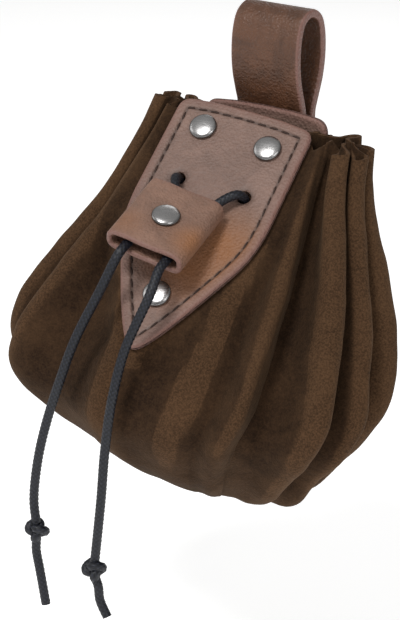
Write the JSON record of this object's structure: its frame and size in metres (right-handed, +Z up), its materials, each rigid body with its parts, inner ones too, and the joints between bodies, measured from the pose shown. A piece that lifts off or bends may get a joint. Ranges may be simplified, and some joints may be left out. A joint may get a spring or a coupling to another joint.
{
  "type": "medieval belt pouch",
  "caption": "Gathered suede drawstring pouch with shield-shaped leather plates, a riveted cord slider, knotted waxed cords and a leather belt loop",
  "frame": {"origin": "inside top of the belt loop, in the middle of the strap's width, where the belt carries the pouch", "axes": "+Z up along the hanging pouch, +X to the viewer's right along the belt, the front with the plate and slider faces -Y"},
  "size_m": [0.1463, 0.1139, 0.2024],
  "materials": {
    "suede": "dark brown suede, short rubbed nap",
    "plate": "smooth oiled leather, greyish brown with darker grain",
    "strap": "smooth mottled brown leather",
    "slider": "smooth tan-brown leather, rubbed darker at the edges",
    "steel": "polished nickel-plated steel",
    "cord": "black braided cord, waxed"
  },
  "bodies": {
    "root": {"pouch_body": "suede", "front_plate": "plate", "back_plate": "plate", "belt_loop": "strap", "rivet_top_left": "steel", "rivet_top_right": "steel", "rivet_lower": "steel", "rivet_back_left": "steel", "rivet_back_right": "steel", "cord_slider": "slider", "rivet_slider": "steel", "cord_left": "cord", "cord_right": "cord", "cord_inner": "cord", "knot_left": "cord", "knot_right": "cord", "tail_left": "cord", "tail_right": "cord"}
  },
  "joints": []
}
